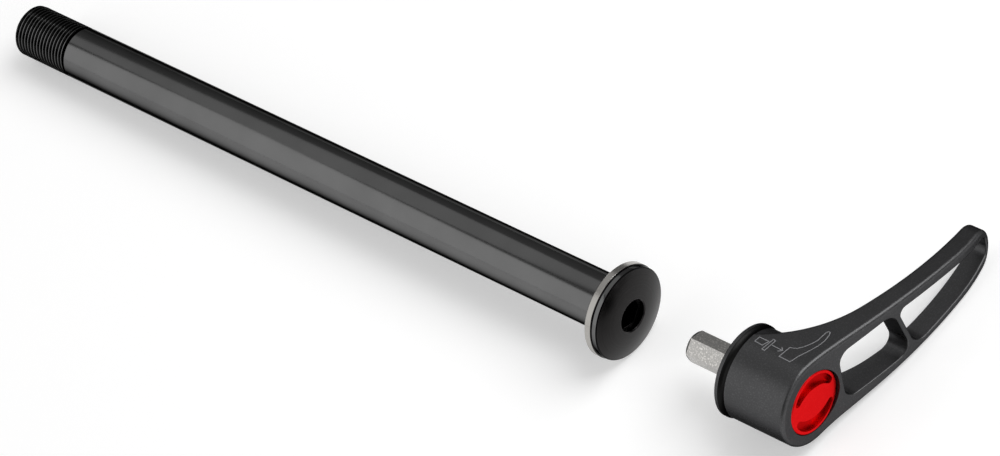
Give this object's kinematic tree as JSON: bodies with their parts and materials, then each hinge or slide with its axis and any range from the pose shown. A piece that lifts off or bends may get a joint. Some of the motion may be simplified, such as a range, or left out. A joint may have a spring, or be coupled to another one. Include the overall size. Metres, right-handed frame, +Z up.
{
  "type": "bicycle thru axle",
  "caption": "Bicycle wheel's threaded thru axle with a flanged head and washer, and its plug-in lever with a hexagon bit, a toothed hub and a windowed arm.",
  "frame": {"origin": "middle of the footprint, on the surface that the part lies on", "axes": "+X along the axle, from its threaded end towards the lever, and +Z up. The axle leans up towards its head, because it lies on its thread and on its washer's rim"},
  "size_m": [0.2316, 0.0642, 0.0214],
  "materials": {
    "axle_black": "satin black anodised",
    "washer_metal": "brushed, pale",
    "bit_steel": "fine blasted",
    "hub_steel": "plain ground",
    "lever_black": "satin black anodised",
    "cap_red": "satin red anodised",
    "ring_rubber": "matte",
    "spring_steel": "drawn wire"
  },
  "bodies": {
    "axle": {"axle_shaft": "axle_black", "washer_o_ring": "ring_rubber"},
    "washer": {"thrust_washer": "washer_metal"},
    "drive": {"drive_pin": "bit_steel", "ratchet_hub": "hub_steel", "dust_seal": "ring_rubber", "return_spring": "spring_steel", "spring_seat": "hub_steel", "retaining_screw": "hub_steel"},
    "ring": {"thrust_ring": "hub_steel"},
    "handle": {"lever": "lever_black", "end_cap": "cap_red", "cap_o_ring": "ring_rubber"}
  },
  "joints": [
    {"name": "washer_spin", "type": "hinge", "parent": "axle", "child": "washer", "pos_m": [0.06095, -0.02174, 0.01041], "axis": [0.9997, 0, 0.025], "continuous": true},
    {"name": "plug_in", "type": "slide", "parent": "axle", "child": "drive", "axis": [0.9997, 0, 0.025], "range_m": [-0.0292, 0]},
    {"name": "lever_lift", "type": "slide", "parent": "drive", "child": "ring", "axis": [0.9997, 0, 0.025], "range_m": [0, 0.0032], "stiffness_N_per_m": 800, "springref_m": -0.003, "deforming": ["return_spring"]},
    {"name": "lever_turn", "type": "hinge", "parent": "ring", "child": "handle", "pos_m": [0.10204, -0.02174, 0.01144], "axis": [0.9997, 0, 0.025], "continuous": true}
  ]
}
